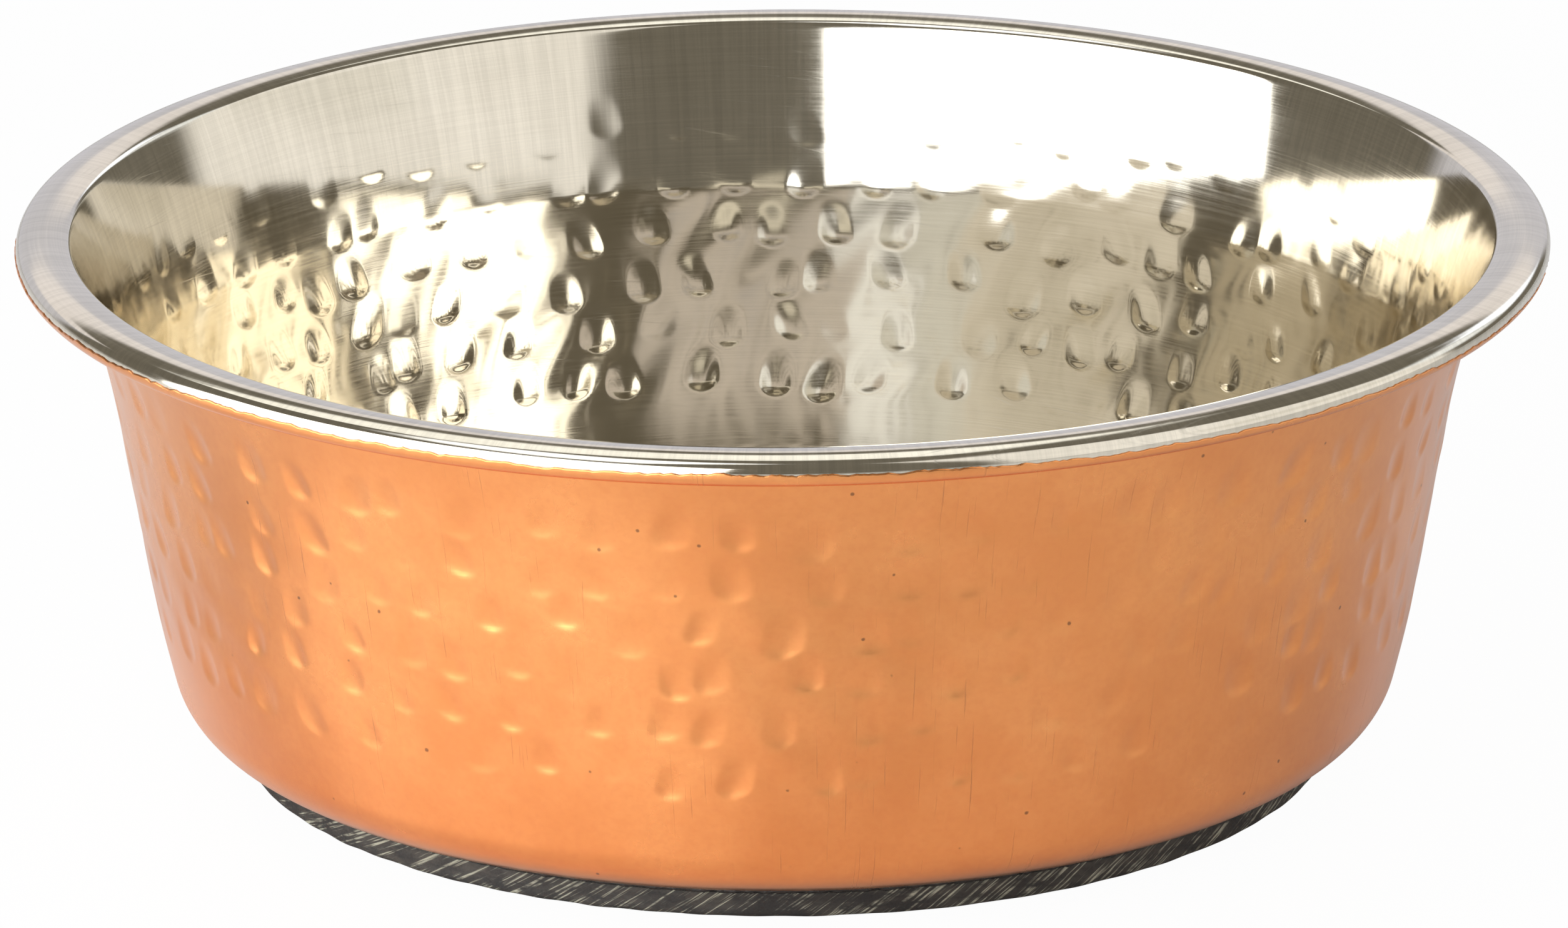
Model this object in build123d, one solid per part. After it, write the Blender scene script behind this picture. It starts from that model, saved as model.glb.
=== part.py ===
"""Hammered pet bowl: a pressed stainless steel shell with a rolled rim, copper plated outside,
standing on a rubber ring that is glued round its base.

Every piece is a solid of revolution about +Z. Sizes are millimetres. The origin is the centre of the
base on the resting plane. The shell and its plating share one construction: the sheet's outer face is
a chain of tangent arcs and lines, and each layer is that chain moved along its normals.
"""

import os
from math import asin, atan2, cos, degrees, dist, radians, sin, tan

from build123d import *

# Driving dimensions
RIM_RADIUS = 107.8  # outermost point of the rolled steel rim
HEIGHT = 76.0  # resting plane to the top of the rim
STEEL = 0.8  # thickness of the pressed sheet
PLATING = 0.2  # thickness drawn for the copper skin, which is far thinner on the real bowl

# Base and wall, given on the copper's outer face
BASE_Z = 4.5  # underside of the flat band that the ring is glued to
BASE_FLAT_RADIUS = 77.3  # where the flat band turns into the corner
CORNER_RADIUS = 9.8
CORNER_END = 14.9  # angle below horizontal of the face's normal where the corner meets the wall
WALL_BOW_RADIUS = 161.0  # the lower wall is very slightly bowed
WALL_TAPER = 9.76  # angle of the straight wall from vertical
FLARE_START_Z = 53.0  # above this height the wall flares out to the rim
PANEL_RADIUS = 57.0  # raised centre of the base, at the top of its step
PANEL_RISE = 1.5
PANEL_STEP_WIDTH = 3.0

# Rolled rim, given on the steel's outer face
CURL_RADIUS = 1.77
CROWN_RADIUS = 8.0  # top of the rim, which runs over into the curl
CROWN_OUTER = 20.7  # how far the crown turns down outwards and inwards from the top
CROWN_INNER = 4.0
FLANGE_RADIUS = 14.0  # flatter inner side of the rim
FLANGE_END = 14.0  # its slope where it turns down into the bowl
LIP_RADIUS = 1.1  # tight turn from the flange to the inside of the wall
CURL_END_GAP = 0.5  # clearance from the tucked edge to the wall
PLATING_EDGE_ANGLE = 12.0  # how far above the outermost point the plating reaches round the rim

# Rubber ring and the glue that holds it
RING_OUTER = 77.3
RING_INNER = 62.5
RING_HEIGHT = 3.6
RING_DRAFT = 0.25  # the ring is this much wider at its foot than at its top
RING_EDGE = 0.6
GROOVE_RADII = (66.6, 71.8)
GROOVE_WIDTH = 1.4
GROOVE_DEPTH = 0.9
BEAD_INSET = 0.8  # the glue stops this far inside the ring's inner edge
BEAD_SQUEEZE = 0.8  # glue squeezed out past the ring's outer edge


def polar(centre, radius, angle):
    """The point at this angle in degrees on a circle in the X-Z half plane."""
    return (centre[0] + radius * cos(radians(angle)), centre[1] + radius * sin(radians(angle)))


def arc(centre, radius, start, end):
    """An arc by centre, radius and two angles, from start to end."""
    return ThreePointArc(
        polar(centre, radius, start), polar(centre, radius, (start + end) / 2), polar(centre, radius, end)
    )


def revolved(edges):
    """The solid made by turning a closed chain of edges in the X-Z plane about Z."""
    face = make_face(Plane.XZ * Wire(edges))
    return revolve(face, Axis.Z)


# Centres of the base panel's two step arcs, which turn by equal angles
STEP_RADIUS = (PANEL_STEP_WIDTH**2 + PANEL_RISE**2) / (4 * PANEL_RISE)
STEP_TURN = 2 * degrees(atan2(PANEL_RISE, PANEL_STEP_WIDTH))
STEP_UPPER_CENTRE = (PANEL_RADIUS, BASE_Z + PANEL_RISE - STEP_RADIUS)
STEP_LOWER_CENTRE = (PANEL_RADIUS + PANEL_STEP_WIDTH, BASE_Z + STEP_RADIUS)

# Centres of the wall's arcs
CORNER_CENTRE = (BASE_FLAT_RADIUS, BASE_Z + CORNER_RADIUS)
CORNER_TOP = polar(CORNER_CENTRE, CORNER_RADIUS, -CORNER_END)
BOW_CENTRE = polar(CORNER_TOP, WALL_BOW_RADIUS, 180 - CORNER_END)
WALL_START = polar(BOW_CENTRE, WALL_BOW_RADIUS, -WALL_TAPER)


FLARE_START = (WALL_START[0] + (FLARE_START_Z - WALL_START[1]) * tan(radians(WALL_TAPER)), FLARE_START_Z)

# Centres of the rim's arcs, each tangent to the last, from the curl inwards
CROWN_END = 90 - CROWN_OUTER
FLANGE_START = 90 + CROWN_INNER
LIP_START = 90 + FLANGE_END
CROWN_TOP = (RIM_RADIUS - CURL_RADIUS - (CROWN_RADIUS - CURL_RADIUS) * sin(radians(CROWN_OUTER)), HEIGHT)
CROWN_CENTRE = (CROWN_TOP[0], HEIGHT - CROWN_RADIUS)
CURL_CENTRE = polar(CROWN_CENTRE, CROWN_RADIUS - CURL_RADIUS, CROWN_END)
CURL_BOTTOM_Z = CURL_CENTRE[1] - CURL_RADIUS
FLANGE_CENTRE = polar(CROWN_CENTRE, CROWN_RADIUS - FLANGE_RADIUS, FLANGE_START)
LIP_CENTRE = polar(FLANGE_CENTRE, FLANGE_RADIUS - LIP_RADIUS, LIP_START)

# The flare's arc is tangent to the straight wall and, on the sheet's inner face, to the lip
LIP_OVERHANG = PLATING + STEEL - LIP_RADIUS
LIP_OFFSET = dist(FLARE_START, LIP_CENTRE)
LIP_DIRECTION = degrees(atan2(LIP_CENTRE[1] - FLARE_START[1], LIP_CENTRE[0] - FLARE_START[0]))
LIP_AHEAD = LIP_OFFSET * cos(radians(LIP_DIRECTION + WALL_TAPER))
FLARE_RADIUS = (LIP_OFFSET**2 - LIP_OVERHANG**2) / (2 * (LIP_AHEAD + LIP_OVERHANG))
FLARE_CENTRE = polar(FLARE_START, FLARE_RADIUS, -WALL_TAPER)
FLARE_END = degrees(atan2(LIP_CENTRE[1] - FLARE_CENTRE[1], FLARE_CENTRE[0] - LIP_CENTRE[0]))


def flare_angle(z, depth):
    """Angle from vertical of the flared wall at height z, at this depth in from the copper's face."""
    return degrees(asin((z - FLARE_CENTRE[1]) / (FLARE_RADIUS + depth)))


def flare_point(z, depth):
    """The point of the flared wall at height z, at this depth in from the copper's face."""
    return polar(FLARE_CENTRE, FLARE_RADIUS + depth, 180 - flare_angle(z, depth))


CURL_END_R = flare_point(CURL_BOTTOM_Z, 0)[0] + CURL_END_GAP + STEEL / 2


def base_and_wall(depth, top_angle):
    """The chain from the middle of the base up to where the flare stands at top_angle from vertical, at
    this depth in from the copper's face."""
    base_z = BASE_Z + depth
    panel_z = base_z + PANEL_RISE
    return [
        Line((0, panel_z), (PANEL_RADIUS, panel_z)),
        arc(STEP_UPPER_CENTRE, STEP_RADIUS + depth, 90, 90 - STEP_TURN),
        arc(STEP_LOWER_CENTRE, STEP_RADIUS - depth, 270 - STEP_TURN, 270),
        Line((STEP_LOWER_CENTRE[0], base_z), (BASE_FLAT_RADIUS, base_z)),
        arc(CORNER_CENTRE, CORNER_RADIUS - depth, -90, -CORNER_END),
        arc(BOW_CENTRE, WALL_BOW_RADIUS - depth, -CORNER_END, -WALL_TAPER),
        Line(
            polar(BOW_CENTRE, WALL_BOW_RADIUS - depth, -WALL_TAPER),
            polar(FLARE_CENTRE, FLARE_RADIUS + depth, 180 - WALL_TAPER),
        ),
        arc(FLARE_CENTRE, FLARE_RADIUS + depth, 180 - WALL_TAPER, 180 - top_angle),
    ]


def rim(inset):
    """The chain over the rim from the wall's top to the curl's lowest point, this far inside its face."""
    return [
        arc(LIP_CENTRE, LIP_RADIUS - inset, 180 - FLARE_END, LIP_START),
        arc(FLANGE_CENTRE, FLANGE_RADIUS - inset, LIP_START, FLANGE_START),
        arc(CROWN_CENTRE, CROWN_RADIUS - inset, FLANGE_START, CROWN_END),
        arc(CURL_CENTRE, CURL_RADIUS - inset, CROWN_END, -90),
    ]


def steel_bowl():
    """One pressed sheet: base, wall, and a rim rolled outwards and tucked back to the wall."""
    inner_depth = PLATING + STEEL
    outside = [*base_and_wall(PLATING, FLARE_END), *rim(STEEL)]
    outside.append(Line((CURL_CENTRE[0], CURL_BOTTOM_Z + STEEL), (CURL_END_R, CURL_BOTTOM_Z + STEEL)))
    edge = arc((CURL_END_R, CURL_BOTTOM_Z + STEEL / 2), STEEL / 2, 90, 270)
    inside = [*base_and_wall(inner_depth, FLARE_END), *rim(0)]
    inside.append(Line((CURL_CENTRE[0], CURL_BOTTOM_Z), (CURL_END_R, CURL_BOTTOM_Z)))
    axis = Line((0, BASE_Z + PLATING + PANEL_RISE), (0, BASE_Z + inner_depth + PANEL_RISE))
    return revolved([axis, *outside, edge, *inside])


def copper_plating():
    """The copper skin, from the middle of the base up the wall and round the underside of the rim."""
    outer_z = CURL_BOTTOM_Z - PLATING
    outer_radius = CURL_RADIUS + PLATING
    edge_inner = polar(CURL_CENTRE, CURL_RADIUS, PLATING_EDGE_ANGLE)
    edge_outer = polar(CURL_CENTRE, outer_radius, PLATING_EDGE_ANGLE)
    outer = base_and_wall(0, flare_angle(outer_z, 0))
    outer.append(Line(flare_point(outer_z, 0), (CURL_CENTRE[0], outer_z)))
    outer.append(arc(CURL_CENTRE, outer_radius, -90, PLATING_EDGE_ANGLE))
    inner = base_and_wall(PLATING, flare_angle(CURL_BOTTOM_Z, PLATING))
    inner.append(Line(flare_point(CURL_BOTTOM_Z, PLATING), (CURL_CENTRE[0], CURL_BOTTOM_Z)))
    inner.append(arc(CURL_CENTRE, CURL_RADIUS, -90, PLATING_EDGE_ANGLE))
    axis = Line((0, BASE_Z + PANEL_RISE), (0, BASE_Z + PLATING + PANEL_RISE))
    return revolved([axis, *outer, Line(edge_outer, edge_inner), *inner])


def rubber_ring():
    """The non-slip ring, with rounded edges and concentric grooves in its underside."""
    section = Polyline(
        (RING_INNER, 0),
        (RING_OUTER, 0),
        (RING_OUTER - RING_DRAFT, RING_HEIGHT),
        (RING_INNER, RING_HEIGHT),
        close=True,
    )
    face = make_face(Plane.XZ * section)
    ring = revolve(face, Axis.Z)
    foot_edges = ring.edges().filter_by(GeomType.CIRCLE).group_by(Axis.Z)[0]
    ring = fillet(foot_edges, RING_EDGE)
    for radius in GROOVE_RADII:
        groove = Cylinder(radius + GROOVE_WIDTH / 2, 2 * GROOVE_DEPTH)
        groove -= Cylinder(radius - GROOVE_WIDTH / 2, 2 * GROOVE_DEPTH)
        ring -= groove
    return ring


def bond_bead():
    """The layer of glue between ring and base, squeezed out in a round bead at the outer edge."""
    thickness = BASE_Z - RING_HEIGHT
    inner = RING_INNER + BEAD_INSET
    bead_centre = (RING_OUTER - RING_DRAFT + BEAD_SQUEEZE - thickness / 2, RING_HEIGHT + thickness / 2)
    return revolved(
        [
            Line((bead_centre[0], RING_HEIGHT), (inner, RING_HEIGHT)),
            Line((inner, RING_HEIGHT), (inner, BASE_Z)),
            Line((inner, BASE_Z), (bead_centre[0], BASE_Z)),
            arc(bead_centre, thickness / 2, 90, -90),
        ]
    )


def main():
    os.makedirs("parts", exist_ok=True)
    export_step(steel_bowl(), "parts/steel_bowl.step")
    export_step(copper_plating(), "parts/copper_plating.step")
    export_step(rubber_ring(), "parts/rubber_ring.step")
    export_step(bond_bead(), "parts/bond_bead.step")


main()
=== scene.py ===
"""The visible model of a hammered pet bowl: a polished steel shell with a copper plated outside,
a rubber ring under the base and the bead of glue that holds it.

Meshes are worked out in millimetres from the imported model's own sizes and written in metres. Each piece
is a surface of revolution whose wall carries the same pattern of hammer dents, seen as hollows from
outside and as bumps from inside.
"""

from math import asin, atan2, ceil, cos, degrees, dist, pi, radians, sin, sqrt, tan

import bpy
import numpy as np
from mathutils import Matrix, Vector


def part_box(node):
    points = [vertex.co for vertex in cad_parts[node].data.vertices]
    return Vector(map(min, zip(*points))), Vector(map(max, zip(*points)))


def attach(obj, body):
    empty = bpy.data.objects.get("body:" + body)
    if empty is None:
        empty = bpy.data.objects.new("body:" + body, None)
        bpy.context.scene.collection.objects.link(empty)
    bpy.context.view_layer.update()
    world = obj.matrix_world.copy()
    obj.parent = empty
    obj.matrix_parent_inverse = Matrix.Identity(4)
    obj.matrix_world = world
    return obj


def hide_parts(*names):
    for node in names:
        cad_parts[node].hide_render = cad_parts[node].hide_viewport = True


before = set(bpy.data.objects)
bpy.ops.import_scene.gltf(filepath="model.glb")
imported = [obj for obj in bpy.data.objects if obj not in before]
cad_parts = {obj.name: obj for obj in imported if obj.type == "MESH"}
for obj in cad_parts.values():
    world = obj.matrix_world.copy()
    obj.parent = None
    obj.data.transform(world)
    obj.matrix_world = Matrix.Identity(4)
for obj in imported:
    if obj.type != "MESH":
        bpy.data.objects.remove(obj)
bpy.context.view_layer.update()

MM = 0.001

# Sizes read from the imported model, in millimetres
STEEL_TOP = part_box("steel_bowl")[1] / MM
STEEL_RIM_RADIUS = STEEL_TOP.x
HEIGHT = STEEL_TOP.z
RING_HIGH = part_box("rubber_ring")[1] / MM
RING_OUTER = RING_HIGH.x
RING_HEIGHT = RING_HIGH.z
BASE_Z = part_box("bond_bead")[1].z / MM
BEAD_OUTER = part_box("bond_bead")[1].x / MM

# Sheet, and the depths at which its faces lie, measured in from the copper's outer face
PLATING = 0.2
SHEET_INSIDE = 1.0
HIDDEN_PLATING = 0.86  # the plating's unseen inner face, smooth and deeper than any dent
HIDDEN_STEEL = 0.89  # the steel's unseen outer face

# Base and wall, on the copper's outer face
BASE_FLAT_RADIUS = RING_OUTER
CORNER_RADIUS = 9.8
CORNER_END = 14.9
WALL_BOW_RADIUS = 161.0
WALL_TAPER = 9.76  # degrees from vertical
FLARE_START_Z = 53.0
PANEL_RADIUS = 57.0
PANEL_RISE = 1.5
PANEL_STEP_WIDTH = 3.0

# Rolled rim, on the steel's outer face
CURL_RADIUS = 1.77
CROWN_RADIUS = 8.0
CROWN_OUTER = 20.7
CROWN_INNER = 4.0
FLANGE_RADIUS = 14.0
FLANGE_END = 14.0
LIP_RADIUS = 1.1
SHEET = 0.8
CURL_END_GAP = 0.5

# Rubber ring and glue
RING_INNER = 62.5
RING_EDGE = 0.6
GROOVE_RADII = (66.6, 71.8)
GROOVE_WIDTH = 1.4
GROOVE_DEPTH = 0.9
BEAD_INNER = RING_INNER + 0.8

# Hammer dents
DENT_ROWS = 6
DENT_ROW_PITCH = 7.3
DENT_TOP_ROW_Z = 61.5
DENTS_PER_ROW = 60
DENT_DEPTH = 0.34
DENT_HALF_WIDTH = 3.1
DENT_HALF_HEIGHT = 3.2
DENT_LOW_Z = 15.0  # everything below and above these heights is smooth
DENT_HIGH_Z = 68.0
DENT_SEED = 7
PRESS_OUTSIDE = 0.10  # how far hammering pressed each face of the whole wall in
PRESS_INSIDE = 0.2
PRESS_TOP_Z = 52.0  # it runs out between these heights
PRESS_END_Z = 60.0
# (height, share of a dent's depth that shows there) on each face of the wall
SHOWN_OUTSIDE = ((0, 1.05),)
SHOWN_INSIDE = ((20, 1.1), (27, 0.6), (50, 0.55), (56, 0.22))

# Mesh resolution
FINE = 1260  # points round the hammered wall
COARSE = 420  # points round everything smooth
FINE_STEP = 0.42
RIM_STEP = 0.25


# ---------------------------------------------------------------- profile


def polar(centre, radius, angle):
    """The point at this angle in degrees on a circle in the r-z half plane."""
    return (centre[0] + radius * cos(radians(angle)), centre[1] + radius * sin(radians(angle)))


CORNER_CENTRE = (BASE_FLAT_RADIUS, BASE_Z + CORNER_RADIUS)
CORNER_TOP = polar(CORNER_CENTRE, CORNER_RADIUS, -CORNER_END)
BOW_CENTRE = polar(CORNER_TOP, WALL_BOW_RADIUS, 180 - CORNER_END)
WALL_START = polar(BOW_CENTRE, WALL_BOW_RADIUS, -WALL_TAPER)
STEP_RADIUS = (PANEL_STEP_WIDTH**2 + PANEL_RISE**2) / (4 * PANEL_RISE)
STEP_TURN = 2 * degrees(atan2(PANEL_RISE, PANEL_STEP_WIDTH))
STEP_UPPER_CENTRE = (PANEL_RADIUS, BASE_Z + PANEL_RISE - STEP_RADIUS)
STEP_LOWER_CENTRE = (PANEL_RADIUS + PANEL_STEP_WIDTH, BASE_Z + STEP_RADIUS)

FLARE_START = (WALL_START[0] + (FLARE_START_Z - WALL_START[1]) * tan(radians(WALL_TAPER)), FLARE_START_Z)

CROWN_END = 90 - CROWN_OUTER
FLANGE_START = 90 + CROWN_INNER
LIP_START = 90 + FLANGE_END
CROWN_REACH = (CROWN_RADIUS - CURL_RADIUS) * sin(radians(CROWN_OUTER))
CROWN_CENTRE = (STEEL_RIM_RADIUS - CURL_RADIUS - CROWN_REACH, HEIGHT - CROWN_RADIUS)
CURL_CENTRE = polar(CROWN_CENTRE, CROWN_RADIUS - CURL_RADIUS, CROWN_END)
CURL_BOTTOM_Z = CURL_CENTRE[1] - CURL_RADIUS
FLANGE_CENTRE = polar(CROWN_CENTRE, CROWN_RADIUS - FLANGE_RADIUS, FLANGE_START)
LIP_CENTRE = polar(FLANGE_CENTRE, FLANGE_RADIUS - LIP_RADIUS, LIP_START)

# The flare's arc is tangent to the straight wall and, on the sheet's inner face, to the lip
LIP_OVERHANG = SHEET_INSIDE - LIP_RADIUS
LIP_OFFSET = dist(FLARE_START, LIP_CENTRE)
LIP_DIRECTION = degrees(atan2(LIP_CENTRE[1] - FLARE_START[1], LIP_CENTRE[0] - FLARE_START[0]))
LIP_AHEAD = LIP_OFFSET * cos(radians(LIP_DIRECTION + WALL_TAPER))
FLARE_RADIUS = (LIP_OFFSET**2 - LIP_OVERHANG**2) / (2 * (LIP_AHEAD + LIP_OVERHANG))
FLARE_CENTRE = polar(FLARE_START, FLARE_RADIUS, -WALL_TAPER)
FLARE_END = degrees(atan2(LIP_CENTRE[1] - FLARE_CENTRE[1], FLARE_CENTRE[0] - LIP_CENTRE[0]))


def flare_angle(z, depth):
    """Angle from vertical of the flared wall at height z, at this depth in from the copper's outer face."""
    return degrees(asin((z - FLARE_CENTRE[1]) / (FLARE_RADIUS + depth)))


def flare_point(z, depth):
    """The point of the flared wall at height z, at this depth in from the copper's outer face."""
    return polar(FLARE_CENTRE, FLARE_RADIUS + depth, 180 - flare_angle(z, depth))


CURL_END_R = flare_point(CURL_BOTTOM_Z, 0)[0] + CURL_END_GAP + SHEET / 2


def arc_rows(centre, radius, start, end, step, hollow=False):
    """Rows (r, z, normal r, normal z) along an arc. The normal points away from the centre, or at it."""
    count = max(2, ceil(abs(radians(end - start)) * radius / step))
    angles = np.radians(np.linspace(start, end, count + 1))
    direction = np.stack([np.cos(angles), np.sin(angles)], 1)
    return np.hstack([np.array(centre) + radius * direction, -direction if hollow else direction])


def line_rows(start, end, step, normal):
    """Rows along a straight stretch, all with the same normal."""
    count = max(1, ceil(sqrt((end[0] - start[0]) ** 2 + (end[1] - start[1]) ** 2) / step))
    t = np.linspace(0, 1, count + 1)[:, None]
    points = np.array(start) * (1 - t) + np.array(end) * t
    return np.hstack([points, np.tile(normal, (count + 1, 1))])


def chain(*pieces):
    """Joins stretches of rows end to end, dropping the repeated rows where they meet."""
    rows = [pieces[0]]
    rows.extend(piece[1:] for piece in pieces[1:])
    return np.vstack(rows)


def base_rows(depth, step):
    """The base at this depth, from near its middle out to the start of the corner."""
    base_z = BASE_Z + depth
    panel_z = base_z + PANEL_RISE
    down = (0.0, -1.0)
    return chain(
        line_rows((6.0, panel_z), (PANEL_RADIUS, panel_z), 5.0, down),
        arc_rows(STEP_UPPER_CENTRE, STEP_RADIUS + depth, 90, 90 - STEP_TURN, step, hollow=True),
        arc_rows(STEP_LOWER_CENTRE, STEP_RADIUS - depth, 270 - STEP_TURN, 270, step),
        line_rows((STEP_LOWER_CENTRE[0], base_z), (BASE_FLAT_RADIUS, base_z), 3.0, down),
    )


def wall_rows(depth, top_angle, step):
    """Corner and wall at this depth, up to where the flare stands at top_angle from vertical. The normals
    point out of the copper's face."""
    normal = (cos(radians(WALL_TAPER)), -sin(radians(WALL_TAPER)))
    start = polar(BOW_CENTRE, WALL_BOW_RADIUS - depth, -WALL_TAPER)
    flare = FLARE_RADIUS + depth
    return chain(
        arc_rows(CORNER_CENTRE, CORNER_RADIUS - depth, -90, -CORNER_END, step),
        arc_rows(BOW_CENTRE, WALL_BOW_RADIUS - depth, -CORNER_END, -WALL_TAPER, step),
        line_rows(start, polar(FLARE_CENTRE, flare, 180 - WALL_TAPER), step, normal),
        arc_rows(FLARE_CENTRE, flare, 180 - WALL_TAPER, 180 - top_angle, step, hollow=True),
    )


# ---------------------------------------------------------------- hammer dents


def make_dents(rng):
    """The hammer blows as (angle, height, half width, half height, lean, depth), in uneven rows."""
    dents = []
    pitch = 2 * pi / DENTS_PER_ROW
    for row in range(DENT_ROWS):
        shift = rng.uniform(0, 1)
        for column in range(DENTS_PER_ROW):
            angle = (column + shift + rng.uniform(-0.3, 0.3)) * pitch
            height = DENT_TOP_ROW_Z - row * DENT_ROW_PITCH + rng.normal(0, 0.7)
            size = rng.uniform(0.85, 1.15)
            depth = DENT_DEPTH * rng.uniform(0.55, 1.05)
            if rng.random() < 0.12:
                depth *= 0.3
            lean = rng.uniform(-0.3, 0.3)
            dents.append((angle, height, DENT_HALF_WIDTH * size, DENT_HALF_HEIGHT * size, lean, depth))
    return dents


def make_waves(rng):
    """Shallow waves in the wall as (waves round the bowl, length up the wall, phase, size)."""
    waves = []
    for _ in range(12):
        turns = rng.integers(18, 64)
        length = rng.uniform(8, 20)
        phase = rng.uniform(0, 2 * pi)
        size = rng.uniform(0.006, 0.014)
        waves.append((turns, length, phase, size))
    return waves


DENTS = make_dents(np.random.default_rng(DENT_SEED))
WAVES = make_waves(np.random.default_rng(DENT_SEED + 1))
DEEPEST = -0.5  # where a dent is deepest, as a share of its half height: well below its middle
DENT_TOP = 1.6  # where its long upper slope runs out, on the same scale
EDGE_SOFTNESS = 0.05  # how gently its edge rounds into the wall, as a share of its depth


def dent_shape(u, v):
    """Depth of one dent, from 0 to 1, for places across and up it: a round steep foot that the hammer
    bit into, and above it a long gentle slope back to the wall."""
    foot = np.clip((DEEPEST - v) / (1 + DEEPEST), 0, None)
    climb = np.clip((v - DEEPEST) / (DENT_TOP - DEEPEST), 0, 1)
    fade = 1 - climb * climb * (3 - 2 * climb)
    across = np.clip(1 - u * u, 0, None) ** 1.6 - 0.2 * u * u
    bowl = across * fade - 0.2 * (1 - fade) - foot * foot
    return EDGE_SOFTNESS * np.log1p(np.exp(bowl / EDGE_SOFTNESS))


def dent_depths(angles, heights):
    """How far the wall is pushed in, in millimetres, for each height (rows) and angle (columns)."""
    depths = np.zeros((len(heights), len(angles)))
    radius = FLARE_START[0]
    for angle, height, half_width, half_height, lean, depth in DENTS:
        near_rows = np.nonzero(np.abs(heights - height) < 1.6 * half_height)[0]
        across = (angles - angle + pi) % (2 * pi) - pi
        near_columns = np.nonzero(np.abs(across) * radius < 1.9 * half_width)[0]
        if not len(near_rows):
            continue
        v = ((heights[near_rows] - height) / half_height)[:, None]
        u = (across[near_columns] * radius / half_width)[None, :] + lean * v
        window = np.ix_(near_rows, near_columns)
        depths[window] = np.maximum(depths[window], depth * dent_shape(u, v))
    return depths


def wall_waves(angles, heights):
    """The slight unevenness that hammering leaves in the wall between the dents."""
    low_z = DENT_TOP_ROW_Z - DENT_ROWS * DENT_ROW_PITCH
    rise = np.clip((heights - low_z) / 8, 0, 1)
    fall = np.clip((PRESS_TOP_Z + 4 - heights) / 6, 0, 1)
    fade = (rise * rise * (3 - 2 * rise) * fall * fall * (3 - 2 * fall))[:, None]
    total = np.zeros((len(heights), len(angles)))
    for turns, length, phase, size in WAVES:
        total += size * np.sin(turns * angles[None, :] + heights[:, None] * 2 * pi / length + phase)
    return total * fade


def pressed(rows, heights, press):
    """The same rows moved in by up to press: all of it where the wall was hammered, running out to
    nothing in the corner and, ever more gently, at the rim."""
    rise = np.clip((heights - 8) / 6, 0, 1)
    fall = np.clip((PRESS_END_Z - heights) / (PRESS_END_Z - PRESS_TOP_Z), 0, 1) ** 2
    moved = rows.copy()
    moved[:, :2] -= rows[:, 2:] * (press * np.minimum(rise, fall))[:, None]
    return moved


def hammered(rows, heights, count, shown):
    """Rings of points for these rows, pushed in along their normals by this share of the dents."""
    angles = np.arange(count) * 2 * pi / count
    share = np.interp(heights, *np.transpose(shown))[:, None]
    push = share * dent_depths(angles, heights) + wall_waves(angles, heights)
    radius = rows[:, 0, None] - rows[:, 2, None] * push
    z = rows[:, 1, None] - rows[:, 3, None] * push
    return np.stack([radius * np.cos(angles), radius * np.sin(angles), z], 2)


def plain(rows, count):
    """Rings of points for these rows, with no dents."""
    angles = np.arange(count) * 2 * pi / count
    radius = np.tile(rows[:, 0, None], (1, count))
    z = np.tile(rows[:, 1, None], (1, count))
    return np.stack([radius * np.cos(angles), radius * np.sin(angles), z], 2)


# ---------------------------------------------------------------- meshes


def band_faces(first, second):
    """Triangles or quads between two closed rings of vertex numbers, one as long as the other or a
    whole number of times longer."""
    if len(first) < len(second):
        return [tuple(reversed(face)) for face in band_faces(second, first)]
    ratio = len(first) // len(second)
    faces = []
    for i in range(len(second)):
        a, b = second[i], second[(i + 1) % len(second)]
        fan = [first[(i * ratio + k) % len(first)] for k in range(ratio + 1)]
        if ratio == 1:
            faces.append((fan[0], fan[1], b, a))
            continue
        for k in range(ratio):
            faces.append((fan[k], fan[k + 1], a if k < ratio // 2 + 1 else b))
        middle = fan[ratio // 2 + 1]
        faces.append((middle, b, a))
    return faces


def lathe(name, blocks, closed):
    """A mesh of stacked rings. blocks is a list of (rows, points, 3) arrays in millimetres. A closed
    profile joins its last ring to its first; an open one gets a cap at each end."""
    rings = [ring for block in blocks for ring in block]
    starts = np.cumsum([0] + [len(ring) for ring in rings])
    points = np.vstack(rings) * MM
    numbers = [list(range(starts[i], starts[i + 1])) for i in range(len(rings))]
    faces = []
    for first, second in zip(numbers, numbers[1:] + (numbers[:1] if closed else [])):
        faces.extend(band_faces(first, second))
    if not closed:
        for ring in (numbers[0], numbers[-1]):
            centre = points[ring].mean(0)
            points = np.vstack([points, centre])
            faces.extend((ring[(i + 1) % len(ring)], ring[i], len(points) - 1) for i in range(len(ring)))
    mesh = bpy.data.meshes.new(name)
    mesh.from_pydata(points.tolist(), [], faces)
    mesh.validate()
    piece = bpy.data.objects.new(name, mesh)
    bpy.context.scene.collection.objects.link(piece)
    bpy.context.view_layer.objects.active = piece
    bpy.ops.object.select_all(action="DESELECT")
    piece.select_set(True)
    bpy.ops.object.mode_set(mode="EDIT")
    bpy.ops.mesh.select_all(action="SELECT")
    bpy.ops.mesh.normals_make_consistent(inside=False)
    bpy.ops.object.mode_set(mode="OBJECT")
    mesh.shade_smooth()
    return piece


# ---------------------------------------------------------------- pieces


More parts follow.
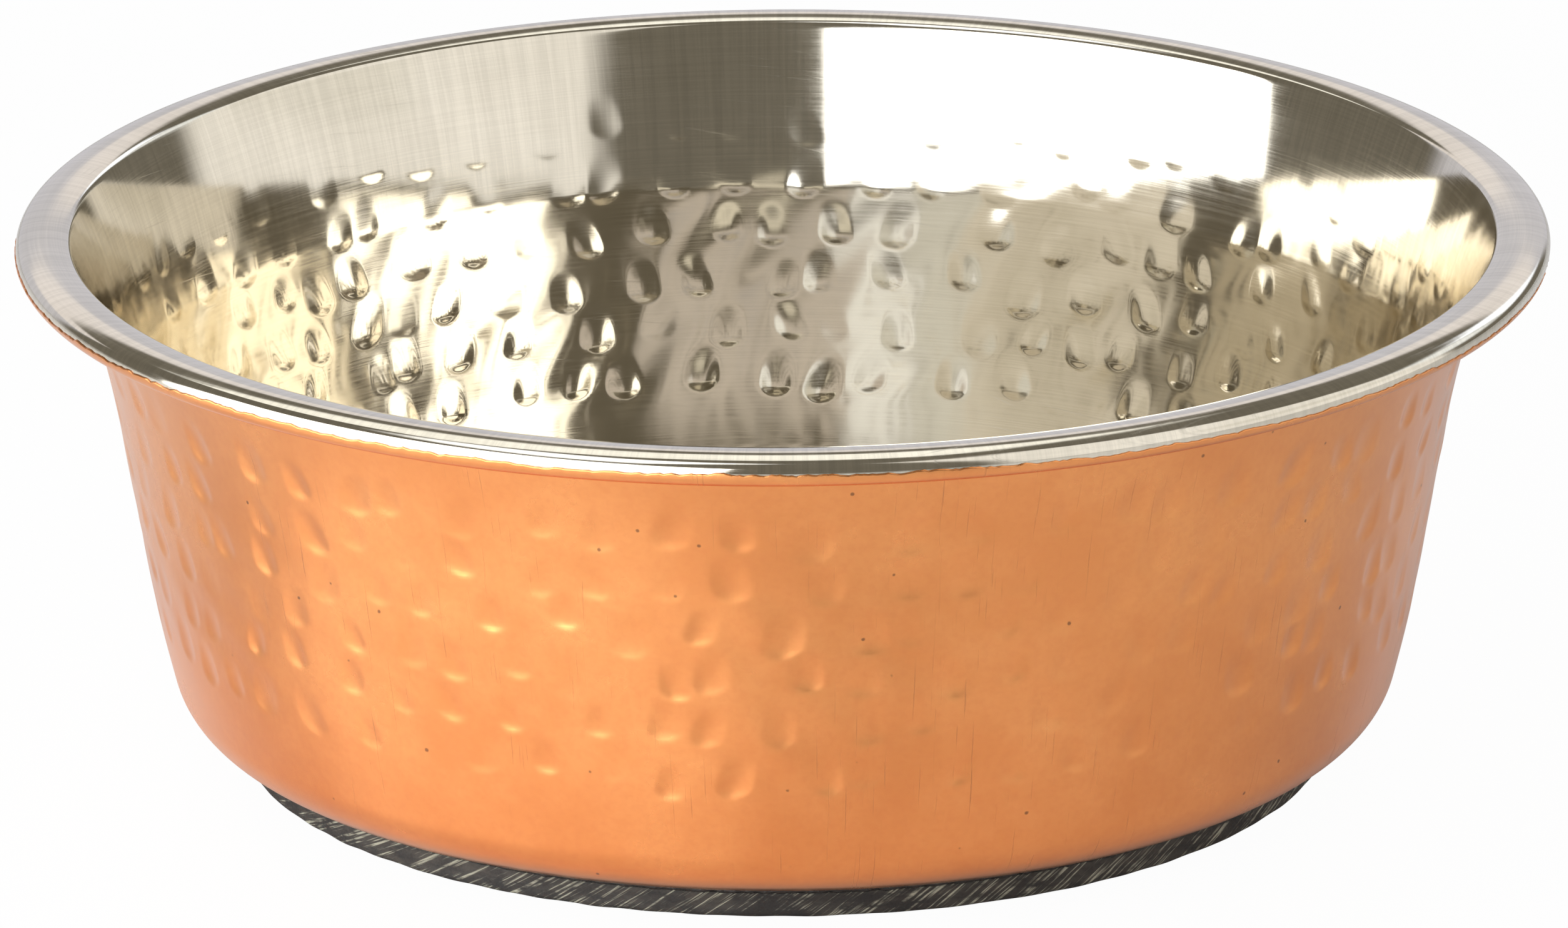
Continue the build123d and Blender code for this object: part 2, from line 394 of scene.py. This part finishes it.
def hidden_wall_rows(shallow, deep, top_angle):
    """The unseen face between plating and steel: it runs smoothly behind the dents, at depth deep, and
    comes back to depth shallow above and below them."""
    rows = wall_rows(0, top_angle, 2.0)
    low_z, rise_height = 12.0, 4.0
    high_z, fall_height = 68.5, 2.0
    rise = np.clip((rows[:, 1] - low_z) / rise_height, 0, 1)
    fall = np.clip((high_z - rows[:, 1]) / fall_height, 0, 1)
    depth = (shallow + (deep - shallow) * np.minimum(rise, fall))[:, None]
    rows[:, :2] -= rows[:, 2:] * depth
    return rows


def hammered_wall(depth, top_angle, press, shown):
    """Blocks of rings for the seen face of the wall at this depth, from the corner up to top_angle."""
    rows = wall_rows(depth, top_angle, FINE_STEP)
    heights = rows[:, 1] + rows[:, 3] * depth  # heights of the matching rows on the copper's outer face
    rows = pressed(rows, heights, press)
    dented = (heights > DENT_LOW_Z) & (heights < DENT_HIGH_Z)
    below = rows[heights <= DENT_LOW_Z]
    above = rows[heights >= DENT_HIGH_Z]
    middle = hammered(rows[dented], heights[dented], FINE, shown)
    return [plain(below, COARSE), middle, plain(above, COARSE)]


def rim_rows(inset, step):
    """Rows over the rim from the wall's top to the curl's lowest point, this far inside its face."""
    return chain(
        arc_rows(LIP_CENTRE, LIP_RADIUS - inset, 180 - FLARE_END, LIP_START, step),
        arc_rows(FLANGE_CENTRE, FLANGE_RADIUS - inset, LIP_START, FLANGE_START, step),
        arc_rows(CROWN_CENTRE, CROWN_RADIUS - inset, FLANGE_START, CROWN_END, step),
        arc_rows(CURL_CENTRE, CURL_RADIUS - inset, CROWN_END, -90, step),
    )


def make_steel_bowl():
    strand_top = CURL_BOTTOM_Z + SHEET
    rim = chain(
        rim_rows(0, RIM_STEP),
        line_rows((CURL_CENTRE[0], CURL_BOTTOM_Z), (CURL_END_R, CURL_BOTTOM_Z), 2.0, (0, -1)),
        arc_rows((CURL_END_R, CURL_BOTTOM_Z + SHEET / 2), SHEET / 2, 270, 90, RIM_STEP),
        line_rows((CURL_END_R, strand_top), (CURL_CENTRE[0], strand_top), 2.0, (0, 1)),
        rim_rows(SHEET, 0.8)[::-1],
    )
    hidden = hidden_wall_rows(PLATING + 0.01, HIDDEN_STEEL, FLARE_END)[::-1]
    return lathe(
        "steel_bowl_hammered",
        [
            plain(base_rows(SHEET_INSIDE, 0.5), COARSE)[:-1],
            *hammered_wall(SHEET_INSIDE, FLARE_END, PRESS_INSIDE, SHOWN_INSIDE),
            plain(rim, COARSE)[1:],
            plain(hidden[1:], COARSE),
            plain(base_rows(PLATING + 0.01, 0.5)[::-1], COARSE)[1:],
        ],
        closed=False,
    )


def plating_edge(angles):
    """How far above the rim's outermost line the plating reaches, in degrees round the curl."""
    rng = np.random.default_rng(DENT_SEED + 2)
    side = np.sin(angles)
    front = np.clip(-side, 0, 1)
    right = np.clip(np.cos(angles), 0, 1)
    reach = -10 + 12 * front - 20 * right
    for turns, size in ((7, 4.0), (19, 3.0), (43, 2.5), (97, 2.0), (181, 2.0), (300, 1.5)):
        reach += size * np.sin(turns * angles + rng.uniform(0, 2 * pi))
    return reach + rng.normal(0, 1.4, len(angles))


def plated_curl(radius_at_foot, radius_at_edge):
    """Rings round the curl from its lowest line up to the ragged edge of the plating."""
    angles = np.arange(FINE) * 2 * pi / FINE
    edge = plating_edge(angles)
    rings = []
    for t in np.linspace(0, 1, 15):
        turn = np.radians(-90 + (edge + 90) * t)
        reach = radius_at_foot + (radius_at_edge - radius_at_foot) * t**3
        radius = CURL_CENTRE[0] + reach * np.cos(turn)
        z = CURL_CENTRE[1] + reach * np.sin(turn)
        rings.append(np.stack([radius * np.cos(angles), radius * np.sin(angles), z], 1))
    return np.array(rings)


def make_copper_skin():
    gap = 0.006  # keeps the skin's unseen face off the steel
    foot_z = CURL_BOTTOM_Z - PLATING
    top_z = CURL_BOTTOM_Z - gap
    shelf = line_rows(flare_point(foot_z, 0), (CURL_CENTRE[0], foot_z), 1.0, (0, -1))
    shelf_back = line_rows((CURL_CENTRE[0], top_z), flare_point(top_z, PLATING), 1.5, (0, 1))
    hidden = hidden_wall_rows(PLATING, HIDDEN_PLATING, flare_angle(top_z, PLATING))[::-1]
    return lathe(
        "copper_skin_hammered",
        [
            plain(base_rows(0, 0.5), COARSE)[:-1],
            *hammered_wall(0, flare_angle(foot_z, 0), PRESS_OUTSIDE, SHOWN_OUTSIDE),
            plain(shelf, COARSE)[1:-1],
            plated_curl(CURL_RADIUS + PLATING, CURL_RADIUS + 0.16),
            plated_curl(CURL_RADIUS + gap, CURL_RADIUS + gap)[::-1],
            plain(shelf_back, COARSE)[1:-1],
            plain(hidden, COARSE),
            plain(base_rows(PLATING, 0.5)[::-1], COARSE)[1:],
        ],
        closed=False,
    )


def wobble(angles, heights, rng, turns, size):
    """Small seeded unevenness over a ring-shaped piece, in millimetres."""
    total = np.zeros((len(heights), len(angles)))
    for _ in range(10):
        count = rng.integers(turns[0], turns[1])
        lean = rng.uniform(-2, 2)
        total += np.sin(count * angles[None, :] + lean * heights[:, None] + rng.uniform(0, 2 * pi))
    return size * total / sqrt(10)


def uneven(rows, count, seed, turns, size):
    """Rings of points for these rows, moved along their normals by a small wobble."""
    angles = np.arange(count) * 2 * pi / count
    push = wobble(angles, rows[:, 1] + rows[:, 0], np.random.default_rng(seed), turns, size)
    radius = rows[:, 0, None] + rows[:, 2, None] * push
    z = rows[:, 1, None] + rows[:, 3, None] * push
    return np.stack([radius * np.cos(angles), radius * np.sin(angles), z], 2)


def make_rubber_ring():
    foot = [line_rows((RING_INNER + RING_EDGE, 0), (GROOVE_RADII[0] - GROOVE_WIDTH / 2, 0), 1.0, (0, -1))]
    for index, radius in enumerate(GROOVE_RADII):
        inner, outer = radius - GROOVE_WIDTH / 2, radius + GROOVE_WIDTH / 2
        is_last = index == len(GROOVE_RADII) - 1
        following = RING_OUTER - RING_EDGE if is_last else GROOVE_RADII[index + 1] - GROOVE_WIDTH / 2
        foot.append(line_rows((inner, 0), (inner + 0.1, GROOVE_DEPTH), 0.3, (1, 0)))
        foot.append(line_rows((inner + 0.1, GROOVE_DEPTH), (outer - 0.1, GROOVE_DEPTH), 0.4, (0, -1)))
        foot.append(line_rows((outer - 0.1, GROOVE_DEPTH), (outer, 0), 0.3, (-1, 0)))
        foot.append(line_rows((outer, 0), (following, 0), 1.0, (0, -1)))
    profile = chain(
        *foot,
        arc_rows((RING_OUTER - RING_EDGE, RING_EDGE), RING_EDGE, -90, 0, 0.15),
        line_rows((RING_OUTER, RING_EDGE), (RING_OUTER - 0.2, RING_HEIGHT - 0.3), 0.4, (1, 0)),
        arc_rows((RING_OUTER - 0.5, RING_HEIGHT - 0.3), 0.3, 0, 90, 0.15),
        line_rows((RING_OUTER - 0.5, RING_HEIGHT), (RING_INNER + 0.3, RING_HEIGHT), 2.0, (0, 1)),
        line_rows((RING_INNER, RING_HEIGHT - 0.3), (RING_INNER, RING_EDGE), 1.0, (-1, 0)),
        arc_rows((RING_INNER + RING_EDGE, RING_EDGE), RING_EDGE, 180, 270, 0.15),
    )[:-1]
    profile[profile[:, 1] < 0.01, 3] = 0  # the foot stays flat on the floor
    return lathe("rubber_ring_worn", [uneven(profile, 600, 21, (9, 70), 0.05)], closed=True)


def make_glue_bead():
    half = (BASE_Z - RING_HEIGHT) / 2
    middle_z = RING_HEIGHT + half
    round_centre = (BEAD_OUTER - half, middle_z)
    inner = chain(
        line_rows((round_centre[0], BASE_Z - 0.005), (BEAD_INNER, BASE_Z - 0.005), 3.0, (0, 0)),
        line_rows((BEAD_INNER, BASE_Z - 0.3), (BEAD_INNER, RING_HEIGHT + 0.3), 0.3, (0, 0)),
        line_rows((BEAD_INNER, RING_HEIGHT + 0.005), (round_centre[0], RING_HEIGHT + 0.005), 3.0, (0, 0)),
    )
    squeeze = arc_rows(round_centre, half, -85, 85, 0.12)
    profile = np.vstack([inner, squeeze])
    return lathe("glue_bead", [uneven(profile, 900, 33, (60, 260), 0.13)], closed=True)


# ---------------------------------------------------------------- material tools


def make(tree, kind, inputs=None, out=0, **settings):
    """Adds a node with these inputs, each a value or another node's output, and returns one output."""
    node = tree.nodes.new(kind)
    for key, value in settings.items():
        setattr(node, key, value)
    for key, value in (inputs or {}).items():
        if isinstance(value, bpy.types.NodeSocket):
            tree.links.new(value, node.inputs[key])
        else:
            node.inputs[key].default_value = value
    return node.outputs[out]


def compute(tree, operation, a, b=0.0):
    return make(tree, "ShaderNodeMath", {0: a, 1: b}, operation=operation)


def noise(tree, vector, scale, detail=3.0, roughness=0.5, distortion=0.0):
    inputs = {"Vector": vector, "Scale": scale, "Detail": detail, "Roughness": roughness}
    inputs["Distortion"] = distortion
    return make(tree, "ShaderNodeTexNoise", inputs)


def ramp(tree, value, low, high, to_low=0.0, to_high=1.0):
    """Moves a value smoothly from one range to another."""
    inputs = {0: value, 1: low, 2: high, 3: to_low, 4: to_high}
    return make(tree, "ShaderNodeMapRange", inputs, interpolation_type="SMOOTHSTEP")


def blend(tree, factor, first, second):
    """Mixes two colours."""
    return make(tree, "ShaderNodeMix", {0: factor, 6: first, 7: second}, out=2, data_type="RGBA")


def stretched(tree, coordinates, x, y, z):
    return make(tree, "ShaderNodeVectorMath", {0: coordinates, 1: (x, y, z)}, operation="MULTIPLY")


def bump(tree, height, distance, strength=1.0, normal=None):
    inputs = {"Height": height, "Distance": distance, "Strength": strength}
    if normal is not None:
        inputs["Normal"] = normal
    return make(tree, "ShaderNodeBump", inputs)


def bowl_coordinates(tree):
    """Millimetre coordinates that follow the bowl: (round the wall x, round the wall y, height), with
    the first two taken on a circle of the wall's mean radius, and the radius by itself."""
    place = make(tree, "ShaderNodeTexCoord", out="Object")
    place = make(tree, "ShaderNodeVectorMath", {0: place, 3: 1000.0}, operation="SCALE")
    parts = tree.nodes.new("ShaderNodeSeparateXYZ")
    tree.links.new(place, parts.inputs[0])
    x, y, z = parts.outputs
    flat = make(tree, "ShaderNodeCombineXYZ", {0: x, 1: y})
    radius = make(tree, "ShaderNodeVectorMath", {0: flat}, out="Value", operation="LENGTH")
    round_wall = make(tree, "ShaderNodeVectorMath", {0: flat}, operation="NORMALIZE")
    round_wall = make(tree, "ShaderNodeVectorMath", {0: round_wall, 3: 90.0}, operation="SCALE")
    height = make(tree, "ShaderNodeCombineXYZ", {2: z})
    wall = make(tree, "ShaderNodeVectorMath", {0: round_wall, 1: height}, operation="ADD")
    return place, wall, radius, z


def new_material(name):
    """An empty material with a Principled shader, and its node tree."""
    material = bpy.data.materials.new(name)
    material.use_nodes = True
    tree = material.node_tree
    shader = next(node for node in tree.nodes if node.type == "BSDF_PRINCIPLED")
    return material, tree, shader


def grey(value):
    return (value, value, value, 1.0)


# ---------------------------------------------------------------- materials


def polished_steel():
    material, tree, shader = new_material("polished_steel")
    place, wall, radius, z = bowl_coordinates(tree)
    brushing = brushed(tree, wall, radius, z, (0.0, 0.0), 3.6)
    turning = brushed(tree, wall, radius, z, (0.0, 0.0), 0.35)
    streaks = noise(tree, stretched(tree, wall, 1.1, 1.1, 0.03), 1.0, 3.0, 0.7)
    clouds = noise(tree, place, 0.045, 4.0, 0.6)
    worn = ramp(tree, noise(tree, place, 0.025, 2.0), 0.45, 0.62)
    scratch = ramp(tree, brushed(tree, wall, radius, z, (0.16, 0.10), 2.2), 0.60, 0.72)
    crossing = ramp(tree, brushed(tree, wall, radius, z, (0.30, -0.22), 1.7), 0.64, 0.73)
    scratch = compute(tree, "MULTIPLY", compute(tree, "MAXIMUM", scratch, crossing), worn)
    tint = ramp(tree, clouds, 0.3, 0.75)
    base = blend(tree, tint, (0.72, 0.67, 0.57, 1), (0.78, 0.73, 0.63, 1))
    # Painted shade: the brushing lines everywhere and the long streaks of the upper band lighten and darken
    # the steel's colour, standing in for the fine shading in its grooves. The scratches darken it too: real
    # wear marks carrying painted shade.
    band = ramp(tree, z, 50.0, 60.0, 0.0, 1.0)
    painted_shade = compute(tree, "MULTIPLY", ramp(tree, streaks, 0.35, 0.65, -0.07, 0.04), band)
    painted_shade = compute(tree, "ADD", painted_shade, ramp(tree, brushing, 0.3, 0.7, -0.05, 0.02))
    painted_shade = compute(tree, "SUBTRACT", painted_shade, compute(tree, "MULTIPLY", scratch, 0.08))
    painted_shade = compute(tree, "ADD", painted_shade, 1.0)
    painted_shade = make(tree, "ShaderNodeCombineXYZ", {0: painted_shade, 1: painted_shade, 2: painted_shade})
    base = make(tree, "ShaderNodeVectorMath", {0: base, 1: painted_shade}, operation="MULTIPLY")
    tree.links.new(base, shader.inputs["Base Color"])
    rough = ramp(tree, brushing, 0.25, 0.75, 0.05, 0.09)
    rough = compute(tree, "ADD", rough, ramp(tree, clouds, 0.3, 0.8, 0.0, 0.05))
    rough = compute(tree, "ADD", rough, compute(tree, "MULTIPLY", scratch, 0.12))
    tree.links.new(rough, shader.inputs["Roughness"])
    shader.inputs["Metallic"].default_value = 1.0
    shader.inputs["Anisotropic"].default_value = 0.5
    shader.inputs["Anisotropic Rotation"].default_value = 0.25
    tangent = make(tree, "ShaderNodeTangent", direction_type="RADIAL", axis="Z")
    tree.links.new(tangent, shader.inputs["Tangent"])
    relief = compute(tree, "MULTIPLY", brushing, 0.5)
    relief = compute(tree, "ADD", relief, compute(tree, "MULTIPLY", turning, 0.35))
    relief = compute(tree, "ADD", relief, compute(tree, "MULTIPLY", streaks, 0.2))
    relief = compute(tree, "SUBTRACT", relief, compute(tree, "MULTIPLY", scratch, 0.4))
    tree.links.new(bump(tree, relief, 0.0000025), shader.inputs["Normal"])
    return material


def brushed(tree, wall, radius, z, tilt, per_mm):
    """Noise drawn out into long lines round the bowl, level or tilted by this much along x and y."""
    parts = tree.nodes.new("ShaderNodeSeparateXYZ")
    tree.links.new(wall, parts.inputs[0])
    level = compute(tree, "ADD", radius, z)
    level = compute(tree, "ADD", level, compute(tree, "MULTIPLY", parts.outputs[0], tilt[0]))
    level = compute(tree, "ADD", level, compute(tree, "MULTIPLY", parts.outputs[1], tilt[1]))
    level = make(tree, "ShaderNodeCombineXYZ", {2: compute(tree, "MULTIPLY", level, per_mm)})
    slow = stretched(tree, wall, 0.035, 0.035, 0.0)
    lines = make(tree, "ShaderNodeVectorMath", {0: slow, 1: level}, operation="ADD")
    return noise(tree, lines, 1.0, 3.0, 0.6)


def satin_copper():
    material, tree, shader = new_material("satin_copper")
    place, wall = bowl_coordinates(tree)[:2]
    mottle = noise(tree, place, 0.05, 5.0, 0.62)
    grain = noise(tree, place, 0.9, 3.0, 0.6)
    hair = noise(tree, stretched(tree, wall, 3.4, 3.4, 0.07), 1.0, 2.0, 0.5)
    hairline = ramp(tree, hair, 0.66, 0.74)
    patch = ramp(tree, noise(tree, place, 0.03, 2.0), 0.42, 0.62)
    hairline = compute(tree, "MULTIPLY", hairline, patch)
    warped = noise(tree, place, 1.2, 2.0)
    pits = make(tree, "ShaderNodeTexVoronoi", {"Vector": place, "Scale": 0.15}, out="Distance")
    pits = compute(tree, "ADD", pits, compute(tree, "MULTIPLY", warped, 0.06))
    pit = ramp(tree, pits, 0.055, 0.085, 1.0, 0.0)
    base = blend(tree, ramp(tree, mottle, 0.3, 0.72), (0.79, 0.30, 0.093, 1), (0.875, 0.365, 0.122, 1))
    base = blend(tree, ramp(tree, grain, 0.35, 0.75, 0.0, 0.25), base, (0.72, 0.24, 0.085, 1))
    base = blend(tree, compute(tree, "MULTIPLY", hairline, 0.45), base, (0.30, 0.13, 0.06, 1))
    base = blend(tree, compute(tree, "MULTIPLY", pit, 0.75), base, (0.16, 0.07, 0.035, 1))
    tree.links.new(base, shader.inputs["Base Color"])
    shader.inputs["Metallic"].default_value = 1.0
    rough = ramp(tree, mottle, 0.3, 0.75, 0.21, 0.29)
    rough = compute(tree, "ADD", rough, compute(tree, "MULTIPLY", hairline, 0.1))
    tree.links.new(rough, shader.inputs["Roughness"])
    shader.inputs["Coat Weight"].default_value = 0.4
    shader.inputs["Coat Roughness"].default_value = 0.25
    relief = compute(tree, "MULTIPLY", grain, 0.4)
    relief = compute(tree, "SUBTRACT", relief, compute(tree, "MULTIPLY", hairline, 0.8))
    relief = compute(tree, "SUBTRACT", relief, pit)
    tree.links.new(bump(tree, relief, 0.00001), shader.inputs["Normal"])
    return material


def worn_rubber():
    material, tree, shader = new_material("worn_rubber")
    place, wall = bowl_coordinates(tree)[:2]
    dust = noise(tree, stretched(tree, wall, 0.14, 0.14, 0.5), 1.0, 5.0, 0.65)
    turned = make(tree, "ShaderNodeMapping", {"Vector": wall, "Rotation": (0.0, 0.55, 0.0)})
    strokes = noise(tree, stretched(tree, turned, 0.10, 0.10, 3.0), 1.0, 3.0, 0.6)
    scuff = compute(tree, "MULTIPLY", ramp(tree, strokes, 0.52, 0.64), ramp(tree, dust, 0.36, 0.56))
    grain = noise(tree, place, 3.0, 3.0, 0.6)
    base = blend(tree, ramp(tree, dust, 0.35, 0.75), (0.016, 0.015, 0.014, 1), (0.06, 0.055, 0.046, 1))
    base = blend(tree, compute(tree, "MULTIPLY", scuff, 0.8), base, (0.46, 0.47, 0.37, 1))
    tree.links.new(base, shader.inputs["Base Color"])
    tree.links.new(ramp(tree, grain, 0.2, 0.8, 0.5, 0.75), shader.inputs["Roughness"])
    relief = compute(tree, "MULTIPLY", grain, 0.5)
    relief = compute(tree, "ADD", relief, compute(tree, "MULTIPLY", scuff, 0.6))
    tree.links.new(bump(tree, relief, 0.00006), shader.inputs["Normal"])
    return material


def glossy_glue():
    material, tree, shader = new_material("glossy_glue")
    place = bowl_coordinates(tree)[0]
    lumps = noise(tree, place, 1.3, 3.0, 0.6)
    base = blend(tree, lumps, (0.006, 0.006, 0.006, 1), (0.02, 0.019, 0.017, 1))
    tree.links.new(base, shader.inputs["Base Color"])
    tree.links.new(ramp(tree, lumps, 0.3, 0.7, 0.12, 0.3), shader.inputs["Roughness"])
    tree.links.new(bump(tree, lumps, 0.0003), shader.inputs["Normal"])
    return material


# ---------------------------------------------------------------- studio

CAMERA_TARGET_Z = 35.6
CAMERA_DISTANCE = 1944.0
CAMERA_ELEVATION = 18.4
CAMERA_LOOK_DOWN = 18.28
CAMERA_ROLL = -0.293
CAMERA_LENS = 315.4


def make_camera():
    """A long lens looking down at the rim, slightly rolled."""
    elevation, down, roll = radians(CAMERA_ELEVATION), radians(CAMERA_LOOK_DOWN), radians(CAMERA_ROLL)
    forward = Vector((0, cos(down), -sin(down)))
    level = Vector((1, 0, 0))
    upright = level.cross(forward)
    right = cos(roll) * level + sin(roll) * upright
    up = cos(roll) * upright - sin(roll) * level
    camera = bpy.data.objects.new("camera", bpy.data.cameras.new("camera"))
    camera.matrix_world = Matrix((right, up, -forward)).transposed().to_4x4()
    back = CAMERA_DISTANCE * MM
    camera.location = (0, -back * cos(elevation), CAMERA_TARGET_Z * MM + back * sin(elevation))
    camera.data.lens = CAMERA_LENS
    camera.data.clip_start = 0.1
    camera.data.clip_end = 100
    bpy.context.scene.collection.objects.link(camera)
    bpy.context.scene.camera = camera


PANELS = (
    # middle (azimuth, elevation), size (width, height), edge, colour
    ((-12, 4), (72, 38), 4, (0.68, 0.68, 0.75, 1)),  # pale backdrop
    ((-12, 23), (72, 9), 1.5, (0.96, 0.92, 0.93, 1)),  # its upper part
    ((34, 23), (22, 18), 3, (1.5, 1.6, 1.8, 1)),  # its brighter right side
    ((60, 23), (30, 18), 5, (1.1, 1.15, 1.2, 1)),  # dimmer strip beside it
    ((-9, 48), (39, 20), 1.5, (1.35, 1.35, 1.30, 1)),  # small softbox over the backdrop
    ((107, 32), (82, 84), 4, (1.08, 1.06, 1.03, 1)),  # softbox on the right
    ((94, 23), (40, 16), 5, (0.95, 0.93, 0.88, 1)),  # its dimmer middle
    ((-90, 76), (115, 30), 4, (1.8, 1.85, 1.95, 1)),  # softbox overhead on the left
)
UNLIT = (0.185, 0.17, 0.14, 1)  # the dim room between the panels


def lit_panel(tree, azimuth, elevation, light, middle, size, edge, colour):
    """Adds a soft-edged panel to a sky's light. Angles are in degrees, the azimuth from behind the bowl
    towards its right, and size is (width, height)."""
    offset = compute(tree, "SUBTRACT", azimuth, middle[0])
    offset = make(tree, "ShaderNodeMath", {0: offset, 1: -180.0, 2: 180.0}, operation="WRAP")
    side = compute(tree, "ABSOLUTE", offset)
    rise = compute(tree, "ABSOLUTE", compute(tree, "SUBTRACT", elevation, middle[1]))
    inside = compute(
        tree,
        "MULTIPLY",
        ramp(tree, side, size[0] / 2 - edge, size[0] / 2 + edge, 1.0, 0.0),
        ramp(tree, rise, size[1] / 2 - edge, size[1] / 2 + edge, 1.0, 0.0),
    )
    return blend(tree, inside, light, colour)


def make_world():
    """Plain studio light: soft panels in a dim room."""
    world = bpy.data.worlds.new("studio")
    bpy.context.scene.world = world
    world.use_nodes = True
    tree = world.node_tree
    background = next(node for node in tree.nodes if node.type == "BACKGROUND")
    parts = tree.nodes.new("ShaderNodeSeparateXYZ")
    tree.links.new(make(tree, "ShaderNodeTexCoord", out="Generated"), parts.inputs[0])
    x, y, z = parts.outputs
    azimuth = compute(tree, "MULTIPLY", compute(tree, "ARCTAN2", x, y), 180 / pi)
    elevation = compute(tree, "MULTIPLY", compute(tree, "ARCSINE", z), 180 / pi)
    light = UNLIT
    for middle, size, edge, colour in PANELS:
        light = lit_panel(tree, azimuth, elevation, light, middle, size, edge, colour)
    tree.links.new(light, background.inputs["Color"])


def make_left_softbox():
    """A large softbox standing close on the front left."""
    size = (0.95, 0.56)
    radiance = 3.4
    place = Vector((-0.39, -0.31, 0.28))
    towards_bowl = Vector((-place.x, -place.y, 0.0))
    light = bpy.data.lights.new("left_softbox", "AREA")
    light.shape = "RECTANGLE"
    light.size, light.size_y = size
    light.energy = radiance * pi * size[0] * size[1]
    light.color = (0.97, 0.985, 1.0)
    lamp = bpy.data.objects.new("left_softbox", light)
    lamp.location = place
    lamp.rotation_euler = towards_bowl.to_track_quat("-Z", "Y").to_euler()
    bpy.context.scene.collection.objects.link(lamp)


def make_floor():
    """A plain pale disc, far wider than the bowl, that glows a little so that it stays near white."""
    radius = 4.0
    level = -0.15 * MM  # clear of the unevenness of the ring's foot
    mesh = bpy.data.meshes.new("floor")
    around = np.arange(96) * 2 * pi / 96
    points = [(radius * cos(a), radius * sin(a), level) for a in around]
    mesh.from_pydata(points, [], [tuple(range(96))])
    floor = bpy.data.objects.new("floor", mesh)
    bpy.context.scene.collection.objects.link(floor)
    material, tree, shader = new_material("pale_floor")
    place = make(tree, "ShaderNodeTexCoord", out="Object")
    tree.links.new(blend(tree, noise(tree, place, 2.0), grey(0.80), grey(0.82)), shader.inputs["Base Color"])
    shader.inputs["Roughness"].default_value = 0.3
    shader.inputs["IOR"].default_value = 1.9
    seen = make(tree, "ShaderNodeLightPath", out="Is Camera Ray")
    glow = make(tree, "ShaderNodeEmission", {"Color": grey(1.0), "Strength": 1.0})
    output = next(node for node in tree.nodes if node.type == "OUTPUT_MATERIAL")
    mixed = make(tree, "ShaderNodeMixShader", {0: compute(tree, "MULTIPLY", seen, 0.97)})
    tree.links.new(shader.outputs[0], mixed.node.inputs[1])
    tree.links.new(glow, mixed.node.inputs[2])
    tree.links.new(mixed, output.inputs["Surface"])
    floor.data.materials.append(material)


# ---------------------------------------------------------------- scene


def show(piece, node, material):
    """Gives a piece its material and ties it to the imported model."""
    piece.data.materials.append(material)
    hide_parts(node)
    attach(piece, "root")


make_camera()
make_world()
make_left_softbox()
make_floor()
show(make_steel_bowl(), "steel_bowl", polished_steel())
show(make_copper_skin(), "copper_plating", satin_copper())
show(make_rubber_ring(), "rubber_ring", worn_rubber())
show(make_glue_bead(), "bond_bead", glossy_glue())

scene = bpy.context.scene
scene.view_settings.view_transform = "Standard"
scene.cycles.max_bounces = 16
scene.cycles.glossy_bounces = 12
